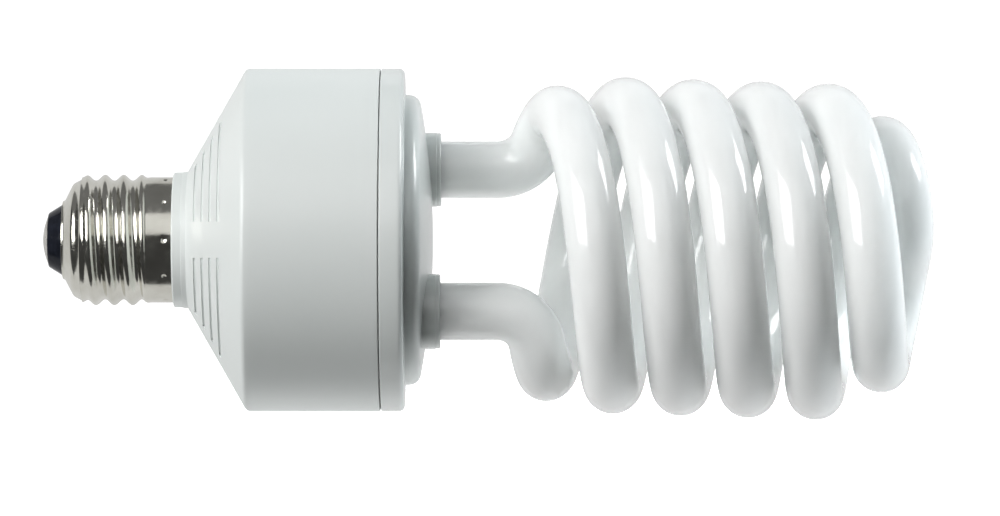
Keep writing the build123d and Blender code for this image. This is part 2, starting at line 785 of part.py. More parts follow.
def make_leg_wiring():
    """The pins and wires of both legs, by name."""
    pieces = {}
    number = 1
    for leg in (1, -1):
        y, z = leg * leg_back, leg * leg_up
        for side in (1, -1):
            pieces[f"wrap_pin_{number}"] = make_wrap_pin(y + side * pin_spacing / 2, z)
            pieces[f"filament_lead_{number}"] = make_filament_lead(y, z, side)
            number += 1
    return pieces


components = make_components()
wiring = make_leg_wiring()
leads = {"live_lead": make_live_lead(), "neutral_lead": make_neutral_lead()}
pins = [piece for name, piece in wiring.items() if name.startswith("wrap_pin")]

parts = {
    "centre_contact": make_centre_contact(),
    "cap_insulator": make_cap_insulator(),
    "screw_shell": make_screw_shell(),
    "lower_housing": make_lower_housing(),
    "top_cover": make_top_cover(),
    "glass_tube": make_glass_tube(),
    "tube_cement_upper": make_tube_cement(1),
    "tube_cement_lower": make_tube_cement(-1),
    "circuit_board": make_circuit_board([*components.values(), *pins, *leads.values()]),
    "fuse_sleeve": make_fuse_sleeve(),
    **leads,
    **wiring,
    **components,
}

os.makedirs("parts", exist_ok=True)
for name, part in parts.items():
    export_step(part, f"parts/{name}.step")
print(len(parts), "parts")
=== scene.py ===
import math

import bpy
import numpy as np
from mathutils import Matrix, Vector


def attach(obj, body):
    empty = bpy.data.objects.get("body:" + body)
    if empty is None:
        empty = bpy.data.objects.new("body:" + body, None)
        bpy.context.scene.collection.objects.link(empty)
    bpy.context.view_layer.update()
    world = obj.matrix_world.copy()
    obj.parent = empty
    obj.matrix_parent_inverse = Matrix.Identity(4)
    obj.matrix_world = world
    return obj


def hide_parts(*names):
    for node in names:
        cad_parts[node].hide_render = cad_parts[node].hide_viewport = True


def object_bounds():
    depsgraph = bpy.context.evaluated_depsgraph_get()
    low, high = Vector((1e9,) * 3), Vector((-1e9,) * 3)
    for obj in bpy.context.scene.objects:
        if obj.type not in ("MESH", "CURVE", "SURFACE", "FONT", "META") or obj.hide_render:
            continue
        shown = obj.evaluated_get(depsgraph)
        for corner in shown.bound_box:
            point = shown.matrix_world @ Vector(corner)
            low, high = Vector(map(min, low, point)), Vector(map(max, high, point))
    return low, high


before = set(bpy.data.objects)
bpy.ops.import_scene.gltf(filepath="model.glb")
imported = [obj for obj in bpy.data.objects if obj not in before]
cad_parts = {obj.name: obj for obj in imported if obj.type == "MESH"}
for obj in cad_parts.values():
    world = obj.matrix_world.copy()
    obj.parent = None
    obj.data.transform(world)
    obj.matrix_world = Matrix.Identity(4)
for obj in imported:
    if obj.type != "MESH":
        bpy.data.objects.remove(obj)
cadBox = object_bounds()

# Photography bulb: a double spiral of white glass on a ballast housing with a screw cap.
# The axis is X, from the cap to the crown. Sizes in the dictionaries are millimetres and degrees.
mm = 0.001
tiny = 1e-12  # keeps divisions and roots off zero
samePlace = 1e-4  # millimetres, under which two points of an outline are one
print("frame loaded with", len(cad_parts), "nodes")


# a grid's cell (i, j) is the quad (i, j), (i, j + 1), (i + 1, j + 1), (i + 1, j), and the last
# column joins the first
def gridQuads(rows, columns, closedRows=False):
    at = np.arange(rows * columns).reshape(rows, columns)
    beside = np.roll(at, -1, 1)
    quads = np.stack([at, beside, np.roll(beside, -1, 0), np.roll(at, -1, 0)], -1)
    return (quads if closedRows else quads[:-1]).reshape(-1, 4)


# the volume inside a skin is the sum of a . (b x c) / 6 over its triangles, and its faces point outwards
# when that is positive
def outward(points, quads, fans):
    halves = np.concatenate([quads[:, [0, 1, 2]], quads[:, [0, 2, 3]], fans])
    a, b, c = points[halves[:, 0]], points[halves[:, 1]], points[halves[:, 2]]
    if np.einsum("ij,ij", a, np.cross(b, c)) < 0:
        return points, quads[:, ::-1], fans[:, ::-1]
    return points, quads, fans


# a closed skin over rings of points: a ring loop when its rows close, or a row of rings between two poles,
# each pole one point that a fan of triangles joins to the ring beside it
def skin(grid, closedRows=False):
    rows, columns = grid.shape[:2]
    none = np.zeros((0, 3), int)
    if closedRows:
        return outward(grid.reshape(-1, 3), gridQuads(rows, columns, True), none)
    points = np.concatenate([grid[:1].mean(1), grid[1:-1].reshape(-1, 3), grid[-1:].mean(1)])
    first = 1 + np.arange(columns)
    last = first + (rows - 3) * columns
    fans = np.concatenate([
        np.stack([np.zeros(columns, int), np.roll(first, -1), first], -1),
        np.stack([np.full(columns, len(points) - 1), last, np.roll(last, -1)], -1),
    ])
    return outward(points, gridQuads(rows - 2, columns) + 1, fans)


# skins become one mesh object at the origin, in metres, riding on the root body in place of its CAD node;
# an edge whose faces turn by more than the sharp angle is drawn sharp
def putPiece(name, skins, finish, nodeName, sharp=35):
    starts = np.cumsum([0] + [len(points) for points, quads, fans in skins])
    faces = []
    for (points, quads, fans), start in zip(skins, starts):
        faces += (quads + start).tolist() + (fans + start).tolist()
    mesh = bpy.data.meshes.new(name)
    mesh.from_pydata(np.concatenate([points for points, quads, fans in skins]) * mm, [], faces)
    mesh.shade_smooth()
    mesh.set_sharp_from_angle(angle=math.radians(sharp))
    mesh.materials.append(finish)
    piece = bpy.data.objects.new(name, mesh)
    bpy.context.scene.collection.objects.link(piece)
    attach(piece, "root")
    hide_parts(nodeName)
    print("piece", name, "with", sum(len(face) - 2 for face in faces), "triangles")


# each corner (x, r, rounding) is cut back along both its sides by rounding / tan(half the corner's angle),
# and an arc of that radius, a slerp between its two ends about its centre, joins the cuts; the first and
# last corners of an open line stay as they are
def roundedLine(corners, steps=6, closed=True):
    corner = np.array(corners, float)
    place, rounding = corner[:, :2], corner[:, 2]
    before, after = np.roll(place, 1, 0) - place, np.roll(place, -1, 0) - place
    before /= np.linalg.norm(before, axis=1)[:, None]
    after /= np.linalg.norm(after, axis=1)[:, None]
    half = np.arccos(np.clip(np.sum(before * after, 1), -1, 1)) / 2
    turn = np.maximum(math.pi - 2 * half, tiny)[:, None, None]
    middle = before + after
    middle /= np.maximum(np.linalg.norm(middle, axis=1), tiny)[:, None]
    centre = place + middle * (rounding / np.sin(half))[:, None]
    cut = (rounding / np.tan(half))[:, None]
    start, end = (place + before * cut - centre)[:, None], (place + after * cut - centre)[:, None]
    share = np.linspace(0, 1, steps)[None, :, None]
    arcs = (np.sin((1 - share) * turn) * start + np.sin(share * turn) * end) / np.sin(turn)
    arcs += centre[:, None]
    sharpOnes = rounding == 0
    arcs[sharpOnes] = place[sharpOnes][:, None]
    line = arcs.reshape(-1, 2)
    if not closed:
        line = line[steps - 1: len(line) - steps + 1]
    fresh = np.append(True, np.linalg.norm(np.diff(line, axis=0), axis=1) > samePlace)
    return line[fresh]


# stations every step along a line join its own points, each by linear interpolation of its length, but not
# where they would stand nearer than clear steps to one of those
def refined(line, step, clear=0.3):
    length = np.append(0, np.cumsum(np.linalg.norm(np.diff(line, axis=0), axis=1)))
    extra = np.arange(step, length[-1], step)
    nearest = np.min(np.abs(extra[:, None] - length[None]), axis=1)
    station = np.sort(np.concatenate([length, extra[nearest > step * clear]]))
    return np.stack([np.interp(station, length, side) for side in line.T], -1)


# a point at (x, r) turned by t about the axis is (x, r sin t, r cos t), and then moved by the offset
def turned(line, angles, offset=(0, 0)):
    x, r = line[:, :1], line[:, 1:]
    return np.stack([x + 0 * angles, r * np.sin(angles) + offset[0], r * np.cos(angles) + offset[1]], -1)


# column i of n stands at the turn 2 pi i / n
def circleAngles(columns):
    return np.arange(columns) * 2 * math.pi / columns


# 0 before the first value, 1 past the last, and 3 u^2 - 2 u^3 between, u the share of the way
def eased(value, first, last):
    u = np.clip((value - first) / (last - first), 0, 1)
    return u * u * (3 - 2 * u)


# a material with one shader and nothing wired into it yet
def newFinish(name):
    finish = bpy.data.materials.new(name)
    finish.use_nodes = True
    tree = finish.node_tree
    tree.nodes.clear()
    output = tree.nodes.new("ShaderNodeOutputMaterial")
    shader = tree.nodes.new("ShaderNodeBsdfPrincipled")
    tree.links.new(shader.outputs["BSDF"], output.inputs["Surface"])
    return finish, tree, shader


# a node, the outputs that are wired into its sockets, and the values that its other sockets are set to
def addNode(tree, kind, wires=(), **values):
    node = tree.nodes.new("ShaderNode" + kind)
    for socket, value in values.items():
        node.inputs[socket].default_value = value
    for socket, output in dict(wires).items():
        tree.links.new(output, node.inputs[socket])
    return node


# noise at (x, y, z) * scale, so that its features are about 1 / scale metres across
def noiseField(tree, scale, detail):
    where = addNode(tree, "TexCoord").outputs["Object"]
    return addNode(tree, "TexNoise", {"Vector": where}, Scale=scale, Detail=detail).outputs["Fac"]


# the usual range of a noise, from 0.3 to 0.7, is carried to low + (high - low) * (noise - 0.3) / 0.4
def carried(tree, noise, low, high, noiseRange=(0.3, 0.7)):
    node = addNode(tree, "MapRange", {"Value": noise})
    for socket, number in zip(("From Min", "From Max", "To Min", "To Max"), (*noiseRange, low, high)):
        node.inputs[socket].default_value = number
    return node.outputs["Result"]


# one colour at 0, the other at 1, in a straight line between
def blended(tree, value, first, second):
    node = addNode(tree, "ValToRGB", {"Fac": value})
    node.color_ramp.elements[0].color = (*first, 1)
    node.color_ramp.elements[1].color = (*second, 1)
    return node.outputs["Color"]


noiseDetail = {"broad": 4.0, "fine": 3.0}


# colour = dark + (light - dark) * broad noise, roughness = low + (high - low) * fine noise, and the normal
# bends over a height of fine noise * depth
def plainFinish(name, look):
    finish, tree, shader = newFinish(name)
    broad = noiseField(tree, look["patch"], noiseDetail["broad"])
    fine = noiseField(tree, look["grain"], noiseDetail["fine"])
    colour = blended(tree, carried(tree, broad, 0, 1), look["dark"], look["light"])
    bump = addNode(tree, "Bump", {"Height": fine}, Strength=1.0, Distance=look["depth"] * mm)
    tree.links.new(colour, shader.inputs["Base Color"])
    tree.links.new(carried(tree, fine, *look["roughness"]), shader.inputs["Roughness"])
    tree.links.new(bump.outputs["Normal"], shader.inputs["Normal"])
    for socket, value in look["shader"].items():
        shader.inputs[socket].default_value = value
    return finish


# one tube: two legs, two strands wound side by side, and the crossing at the crown
glassTube = {
    "radius": 5.7,
    "legUp": 14.2,  # the upper leg stands above and behind the axis, the lower one below and in front
    "legBack": 11.3,
    "legStart": 41.9,
    "legEnd": 64.6,
    "mouth": 53.35,  # the winding leans about the mouths of the sockets
    "coilRadius": 28.0,
    "pitch": 27.1,  # advance of each strand in a turn
    "coilStart": 75.5,
    "entryRadius": 25.9,
    "entryTurn": 120.0,
    "crownEnd": 960.0,  # turn of the strand at the middle of the crossing
    "crownTurn": 60.0,
    "crownRadius": 20.4,
    "crownX": 146.0,
    "crownBow": 71.0,
    "crownPower": 14.0,  # how hard the winding's radius gives way to the crown's
    "crownBlend": 0.6,  # length over which the winding's advance gives way to the arch
    "leanDown": 1.75,
    "leanBack": 1.6,
    "slantDown": 0.65,
    "slantBack": 1.7,
    "slantPower": 3,  # the slant fades with this power of the distance from the axis
    "spokeTurn": (300, 700),  # turn of the strand over which a ring's first spoke tips from outward to X
    "endLength": 2.4,  # of the rounded, melted ends inside the housing
    "endRings": 12,
    "linePoints": 9000,  # of the centre line in each strand
    "legPoints": 200,
    "headingReach": 0.3,  # a ring's heading is taken from the line so far before and after it
    "rings": 1280,
    "spokes": 56,
    "finish": {
        "dark": (0.785, 0.803, 0.796),
        "light": (0.812, 0.828, 0.820),
        "patch": 45.0,
        "grain": 260.0,
        "roughness": (0.30, 0.36),
        "depth": 0.005,
        "shader": {
            "Coat Weight": 1.0,
            "Coat Roughness": 0.01,
            "Coat IOR": 1.5,
            "Specular IOR Level": 0.1,
            "Subsurface Weight": 1.0,
            "Subsurface Scale": 0.012,
            "Subsurface Radius": (1.0, 1.0, 1.0),
        },
    },
}


# a strand turns by a about the axis: y = -r sin a, z = r cos a, r the smooth smaller of the winding's
# radius, which opens with sin^2 over the entry, and sqrt(k (end - a)), k = crownRadius^2 / crownTurn, which
# draws it in to the crossing; x is the smooth smaller of start + pitch a / 360 and the arch
# crownX - z^2 / (2 bow)
def strandLine(turn, cut):
    a, power, blend = np.radians(turn), cut["crownPower"], cut["crownBlend"]
    opened = np.sin(math.pi / 2 * np.minimum(turn / cut["entryTurn"], 1)) ** 2
    wound = cut["entryRadius"] + (cut["coilRadius"] - cut["entryRadius"]) * opened
    rate = cut["crownRadius"] ** 2 / math.radians(cut["crownTurn"])
    drawnIn = np.sqrt(rate * np.maximum(math.radians(cut["crownEnd"]) - a, tiny))
    r = (wound ** -power + drawnIn ** -power) ** (-1 / power)
    y, z = -r * np.sin(a), r * np.cos(a)
    windingX = cut["coilStart"] + cut["pitch"] * turn / 360
    archX = cut["crownX"] - z ** 2 / (2 * cut["crownBow"])
    x = -blend * np.logaddexp(-windingX / blend, -archX / blend)
    return np.stack([x, y, z], -1)


# x moves by share (z tan down - y tan back), share = (distance from the axis / coil radius) ^ power, and
# then the whole winding turns about the mouth: by leanBack about Z, and then by leanDown about Y
def leanedLine(line, cut):
    x, y, z = line.T
    down, back = math.tan(math.radians(cut["slantDown"])), math.tan(math.radians(cut["slantBack"]))
    share = (np.hypot(y, z) / cut["coilRadius"]) ** cut["slantPower"]
    x = x + share * (z * down - y * back) - cut["mouth"]
    b, d = math.radians(cut["leanBack"]), math.radians(cut["leanDown"])
    x, y = x * math.cos(b) - y * math.sin(b), x * math.sin(b) + y * math.cos(b)
    x, z = x * math.cos(d) + z * math.sin(d), z * math.cos(d) - x * math.sin(d)
    return np.stack([x + cut["mouth"], y, z], -1)


# an arc that leaves p along u and ends at q: its centre is on the normal to u towards q, and its points are
# a slerp of the two radii about the centre
def arcLine(p, u, q, count=60):
    chord = q - p
    side = chord - u * (chord @ u)
    side /= np.linalg.norm(side)
    centre = p + side * (chord @ chord) / (2 * (chord @ side))
    a, b = p - centre, q - centre
    turn = math.acos(np.clip(a @ b / (a @ a), -1, 1))
    share = np.linspace(0, 1, count)[:, None]
    return centre + (np.sin((1 - share) * turn) * a + np.sin(share * turn) * b) / math.sin(turn)


# two arcs of equal reach join (p, u) to (q, v): |q - p - reach (u + v)| = 2 reach, and they meet half way
def twoArcs(p, u, q, v):
    chord, both, spread = q - p, u + v, 2 * (1 - u @ v)
    reach = (math.sqrt((chord @ both) ** 2 + spread * (chord @ chord)) - chord @ both) / spread
    middle = (p + q + (u - v) * reach) / 2
    heading = middle - p - u * reach
    heading /= np.linalg.norm(heading)
    return np.concatenate([arcLine(p, u, middle), arcLine(middle, heading, q)[1:]])


# the centre line is leg, two arcs, strand and crossing, and then the same half a turn about the axis away,
# backwards; turns are taken at end - root^2, evenly in the root, so that points crowd at the crossing
def tubeLine(cut):
    toEnd = np.linspace(0, math.sqrt(cut["crownEnd"]), cut["linePoints"])[::-1] ** 2
    tipped = eased(cut["crownEnd"] - toEnd, *cut["spokeTurn"])
    halves = []
    for side in (1, -1):
        strand = leanedLine(strandLine(cut["crownEnd"] - toEnd, cut) * (1, side, side), cut)
        heading = strand[1] - strand[0]
        heading /= np.linalg.norm(heading)
        end = np.array([cut["legEnd"], side * cut["legBack"], side * cut["legUp"]])
        start = end + (cut["legStart"] - cut["legEnd"], 0, 0)
        leg = start + (end - start) * np.linspace(0, 1, cut["legPoints"])[:, None]
        joint = twoArcs(end, np.array([1.0, 0, 0]), strand[0], heading)
        foot = np.concatenate([leg[:-1], joint[:-1]])
        halves.append((np.concatenate([foot, strand]), np.append(np.zeros(len(foot)), tipped)))
    (line, share), (otherLine, otherShare) = halves
    return np.concatenate([line, otherLine[-2::-1]]), np.append(share, otherShare[-2::-1])


# every ring is centre + radius (cos s n + sin s b), square to the heading; n is the part square to the
# heading of (1 - share) (outward from the axis) + share (along the axis), and the radius closes as an
# ellipse at both ends
def tubeSkin(cut):
    line, share = tubeLine(cut)
    length = np.append(0, np.cumsum(np.linalg.norm(np.diff(line, axis=0), axis=1)))
    total, end = length[-1], cut["endLength"]
    closing = end * (1 - np.cos(np.linspace(0, math.pi / 2, cut["endRings"])))
    between = np.linspace(end, total - end, cut["rings"])[1:-1]
    station = np.concatenate([closing, between, total - closing[::-1]])
    centre, ahead, behind = [
        np.stack([np.interp(station + reach, length, side) for side in line.T], -1)
        for reach in (0, cut["headingReach"], -cut["headingReach"])
    ]
    heading = (ahead - behind) / np.linalg.norm(ahead - behind, axis=1)[:, None]
    toEnd = np.clip(np.minimum(station, total - station) / end, 0, 1)
    radius = cut["radius"] * np.sqrt(1 - (1 - toEnd) ** 2)[:, None, None]
    lean = np.interp(station, length, share)[:, None]
    away = centre * (0, 1, 1)
    away /= np.maximum(np.linalg.norm(away, axis=1), tiny)[:, None]
    spoke = (1 - lean) * away + lean * np.array([1.0, 0, 0])
    spoke -= heading * np.sum(spoke * heading, 1)[:, None]
    spoke /= np.linalg.norm(spoke, axis=1)[:, None]
    other = np.cross(heading, spoke)
    s = circleAngles(cut["spokes"])[None, :, None]
    print("glass tube is", round(total), "mm long")
    return skin(centre[:, None] + radius * (np.cos(s) * spoke[:, None] + np.sin(s) * other[:, None]))


glassFinish = plainFinish("coatedGlass", glassTube["finish"])
putPiece("glassTube", [tubeSkin(glassTube)], glassFinish, "glass_tube")


# drawn metal cup with the knuckle thread
screwShell = {
    "pitch": 3.68,
    "meanRadius": 12.5,
    "height": 0.58,  # of the crests above the mean, and of the roots below it
    "topCrest": -6.35,  # X of a crest at the top
    "threadIn": (-4.7, -6.4),  # X where the thread rises out of the skirt
    "threadOut": (-19.2, -16.4),  # and where it has sunk into the shoulder
    "skirtRadius": 12.55,
    "wall": 0.3,
    "bands": [(0, -0.9, 6), (-0.9, -2.1, 12), (-2.1, -4.6, 7), (-4.6, -18.4, 105)],  # rings from X to X
    "shoulder": [(-18.4, 12.02, 0), (-20.0, 11.35, 1.6), (-21.75, 7.9, 0.5), (-22.15, 7.85, 0.1),
                 (-22.15, 7.3, 0)],
    "shoulderArc": 7,  # points of each rounded corner
    "marks": 10,  # punch marks that stake the shell to the housing
    "markX": -1.5,
    "markWidth": 0.42,
    "markDepth": 0.28,
    "markReach": 0.06,  # angle in radians at each side of a mark that has its own columns
    "markColumns": 11,
    "markClear": 0.068,  # angle in radians within which no other column stands
    "columns": 168,
    "sharp": 60,
    "finish": {
        "dark": (0.62, 0.61, 0.55),
        "light": (0.80, 0.79, 0.73),
        "patch": 120.0,
        "grain": 900.0,
        "roughness": (0.10, 0.24),
        "depth": 0.004,
        "shader": {"Metallic": 1.0},
    },
}


# the angle from each column to the nearest mark, the short way round
def toMark(columns, marks):
    return np.min(np.abs((columns[:, None] - marks[None] + math.pi) % (2 * math.pi) - math.pi), axis=1)


# radius = mean + height cos(2 pi (x - crest) / pitch + t) between the skirt and the shoulder, eased in and
# out, less a round dip depth exp(-(d / width)^2) at each punch mark; the inner skin is the wall further in
def shellSkin(cut):
    x = np.concatenate([np.linspace(*band, endpoint=False) for band in cut["bands"]])
    shoulder = roundedLine(cut["shoulder"], cut["shoulderArc"], False)
    plain = np.append(np.full(len(x), cut["skirtRadius"]), shoulder[:, 1])[:, None]
    x = np.append(x, shoulder[:, 0])[:, None]
    marks = (np.arange(cut["marks"]) + 0.5) * 2 * math.pi / cut["marks"]
    base = circleAngles(cut["columns"])
    reach = np.linspace(-cut["markReach"], cut["markReach"], cut["markColumns"])
    near = (marks[:, None] + reach[None]).ravel()
    t = np.sort(np.concatenate([base[toMark(base, marks) > cut["markClear"]], near]))
    share = eased(x, *cut["threadIn"]) * eased(x, *cut["threadOut"])
    phase = 2 * math.pi * (x - cut["topCrest"]) / cut["pitch"] + t[None]
    wave = cut["meanRadius"] + cut["height"] * np.cos(phase)
    radius = plain * (1 - share) + wave * share
    distance = np.hypot(x - cut["markX"], toMark(t, marks)[None] * cut["skirtRadius"])
    radius -= cut["markDepth"] * np.exp(-(distance / cut["markWidth"]) ** 2)
    lip = cut["shoulder"][-1][0]
    x = np.concatenate([x + 0 * radius, np.maximum(x[::-1], lip + cut["wall"]) + 0 * radius])
    radius = np.concatenate([radius, radius[::-1] - cut["wall"]])
    return skin(np.stack([x, radius * np.sin(t), radius * np.cos(t)], -1), True)


shellFinish = plainFinish("nickelPlate", screwShell["finish"])
putPiece("screwShell", [shellSkin(screwShell)], shellFinish, "screw_shell",
         screwShell["sharp"])


# black glass plug in the lip of the shell
capInsulator = {
    "outline": [(-24.95, 1.6, 0), (-25.05, 5.35, 0.5), (-22.15, 7.15, 0.25), (-21.8, 7.15, 0),
                (-19.8, 5.95, 0.3), (-19.8, 1.6, 0)],
    "arcPoints": 7,
    "ringStep": 0.5,
    "columns": 128,
    "finish": {
        "dark": (0.006, 0.007, 0.010),
        "light": (0.016, 0.018, 0.026),
        "patch": 500.0,
        "grain": 900.0,
        "roughness": (0.06, 0.14),
        "depth": 0.02,
        "shader": {"Specular IOR Level": 0.12, "Coat Weight": 0.08, "Coat Roughness": 0.05},
    },
}


# the outline turned about the axis, a ring whose hole takes the contact's barrel
def insulatorSkin(cut):
    line = refined(roundedLine(cut["outline"], cut["arcPoints"]), cut["ringStep"])
    return skin(turned(line, circleAngles(cut["columns"])), True)


insulatorFinish = plainFinish("blackGlass", capInsulator["finish"])
putPiece("capInsulator", [insulatorSkin(capInsulator)], insulatorFinish, "cap_insulator")


# domed metal disc with a hollow barrel that rivets it through the insulator
centreContact = {
    "face": -25.05,
    "radius": 4.9,
    "dome": 1.1,
    "domeRings": 24,
    "outline": [(-25.12, 4.75, 0), (-25.07, 4.9, 0.06), (-25.05, 4.78, 0), (-25.05, 1.55, 0),
                (-18.65, 1.55, 0.1), (-18.65, 1.15, 0.1), (-25.35, 1.15, 0), (-25.45, 0, 0)],
    "arcPoints": 4,
    "columns": 96,
    "finish": {
        "dark": (0.50, 0.49, 0.46),
        "light": (0.72, 0.70, 0.66),
        "patch": 500.0,
        "grain": 1200.0,
        "roughness": (0.22, 0.42),
        "depth": 0.02,
        "shader": {"Metallic": 1.0},
    },
}


# the dome is x = face - dome (1 - (r / radius)^2), and the outline goes on from its edge, over the rim and
# round the barrel to the axis
def contactSkin(cut):
    r = np.linspace(0, cut["outline"][0][1], cut["domeRings"])
    dome = np.stack([cut["face"] - cut["dome"] * (1 - (r / cut["radius"]) ** 2), r], -1)
    line = roundedLine(cut["outline"], cut["arcPoints"], False)
    return skin(turned(np.concatenate([dome, line[1:]]), circleAngles(cut["columns"])))


contactFinish = plainFinish("contactMetal", centreContact["finish"])
putPiece("centreContact", [contactSkin(centreContact)], contactFinish, "centre_contact")


# moulded shell of the ballast, with grooves round its cone
lowerHousing = {
    "outline": [(-8.0, 11.1, 0), (-7.7, 11.4, 0), (-4.4, 11.4, 0), (-3.8, 12.2, 0), (-0.02, 12.2, 0),
                (0.0, 13.25, 0), (0.25, 13.5, 0.15), (1.85, 13.5, 0.0), (1.95, 13.62, 0.05),
                (2.9, 13.66, 0.05), (3.0, 13.98, 0.1), (14.6, 34.25, 1.25), (41.2, 34.25, 0.12),
                (41.3, 34.05, 0.05), (41.3, 33.2, 0), (41.3, 32.45, 0), (15.65, 32.45, 0.5),
                (3.22, 10.7, 0.5), (-8.0, 10.7, 0)],
    "ringStep": 0.9,
    "ringClear": 0.1,  # no ring of the cone stands nearer than this to a groove's side
    "grooveX": (4.535, 6.195, 7.855, 9.515),  # where each groove starts
    "grooveWidth": 0.45,
    "grooveDepth": 0.16,  # of its floor below the cone where the groove starts
    "grooveSide": 0.04,  # length over which a side of the groove drops
    "groups": 5,  # of grooves, with a plain web between two groups, one of which faces the viewer
    "webWidth": 7.2,
    "webColumns": 7,
    "grooveColumns": 36,
    "sharp": 28,
}

# pale grey plastic of the housing and of the cover
housingPlastic = {
    "dark": (0.648, 0.684, 0.670),
    "light": (0.683, 0.714, 0.701),
    "patch": 25.0,
    "grain": 1400.0,
    "roughness": (0.33, 0.42),
    "depth": 0.006,
    "shader": {"Specular IOR Level": 0.35, "Coat Weight": 0.1, "Coat Roughness": 0.12},
}


# rings stand at both ends of both sides of each groove, and its columns drop to floor = cone(start) - depth
# between the sides; a web takes the angle 2 asin(web / 2 r) of every ring, the grooves the rest
def housingSkin(cut):
    line = refined(roundedLine(cut["outline"]), cut["ringStep"])
    start = np.array(cut["grooveX"])[:, None]
    side, width = cut["grooveSide"], cut["grooveWidth"]
    rings = (start + (0, side, width - side, width)).ravel()
    outside = np.argmax(line[:, 0])
    outer, inner = line[:outside], line[outside:]
    clear = np.min(np.abs(outer[:, :1] - rings), axis=1) > cut["ringClear"]
    coneR = np.interp(rings, *outer.T)
    outer = np.concatenate([outer[clear], np.stack([rings, coneR], -1)])
    outer = outer[np.argsort(outer[:, 0], kind="stable")]
    line = np.concatenate([outer, inner])
    x, r = line[:, :1], line[:, 1:]
    halfWeb = np.arcsin(cut["webWidth"] / 2 / r)
    group = 2 * math.pi / cut["groups"]
    web = np.linspace(-1, 1, cut["webColumns"]) * halfWeb
    gap = side / r
    grooves = halfWeb + gap + (group - 2 * halfWeb - 2 * gap) * np.linspace(0, 1, cut["grooveColumns"])
    one = np.concatenate([web, grooves], 1)
    groups = (np.arange(cut["groups"]) * group)[None, :, None]
    t = (one[:, None] + groups).reshape(len(line), -1) - math.pi / 2
    onGroove = np.tile(np.arange(one.shape[1]) >= cut["webColumns"], cut["groups"])
    floors = np.interp(start[:, 0], *outer.T) - cut["grooveDepth"]
    low = np.arange(len(line))[:, None] < len(outer)
    for begin, floor in zip(start[:, 0], floors):
        inGroove = low & (x > begin + side / 2) & (x < begin + width - side / 2) & onGroove
        r = np.where(inGroove, floor, r)
    return skin(np.stack([x + 0 * t, r * np.sin(t), r * np.cos(t)], -1), True)


housingFinish = plainFinish("housingPlastic", housingPlastic)
putPiece("lowerHousing", [housingSkin(lowerHousing)], housingFinish, "lower_housing",
         lowerHousing["sharp"])


# moulded cover with a plinth, a low dome and two collars for the legs
topCover = {
    "under": [(47.25, 0, 0), (47.25, 27.2, 0.5), (44.4, 27.2, 0.5), (44.4, 30.9, 0.5), (36.8, 30.9, 0.2),
              (36.8, 32.3, 0.2)],
    "outline": [(41.5, 32.3, 0), (41.5, 34.1, 0.05), (41.6, 34.25, 0.12), (46.2, 34.25, 1.15),
                (46.2, 29.0, 0.25), (49.05, 29.0, 2.4)],
    "arcPoints": 8,
    "ringStep": 1.5,
    "domeX": 51.8,
    "domeDrop": 2.75,  # of the dome over its full radius
    "domeRadius": 29.0,
    "domeEdge": 26.0,  # radius where the dome takes over from the outline
    "domeRings": 30,
    "columns": 200,
    "collar": [(47.3, 5.95, 0), (47.3, 7.45, 0), (52.4, 7.45, 0.06), (52.45, 7.37, 0.05),
               (53.35, 7.37, 0.35), (53.35, 5.95, 0.3)],
    "collarStep": 0.7,
    "collarColumns": 96,
    "sharp": 28,
    "finish": {
        "patch": 31.0,
        "roughness": (0.30, 0.38),
        "shader": {"Specular IOR Level": 0.4, "Coat Weight": 0.7, "Coat Roughness": 0.06},
    },
}


# the cover's underside, skirt, rim and plinth come from the outlines, and the dome from its edge to the
# axis is x = top - drop (r / radius)^2; a spare corner at each end lets the line's own ends be rounded
def coverSkin(cut):
    r = np.linspace(cut["domeEdge"], 0, cut["domeRings"])
    dome = np.stack([cut["domeX"] - cut["domeDrop"] * (r / cut["domeRadius"]) ** 2, r], -1)
    corners = [*cut["under"], *cut["outline"], (dome[0, 0], dome[0, 1], 0)]
    spare = [(corners[0][0] - 1, 0, 0), (corners[-1][0] + 1, 0, 0)]
    line = roundedLine([spare[0], *corners, spare[1]], cut["arcPoints"], False)[1:-1]
    line = refined(np.concatenate([line, dome[1:]]), cut["ringStep"])
    return skin(turned(line, circleAngles(cut["columns"])))


# a collar is its own outline turned round each leg, with a step under its rounded mouth
def collarSkins(cut):
    line = refined(roundedLine(cut["collar"]), cut["collarStep"])
    places = [(side * glassTube["legBack"], side * glassTube["legUp"]) for side in (1, -1)]
    return [skin(turned(line, circleAngles(cut["collarColumns"]), place), True) for place in places]


coverFinish = plainFinish("coverPlastic", {**housingPlastic, **topCover["finish"]})
putPiece("topCover", [coverSkin(topCover), *collarSkins(topCover)], coverFinish,
         "top_cover", topCover["sharp"])


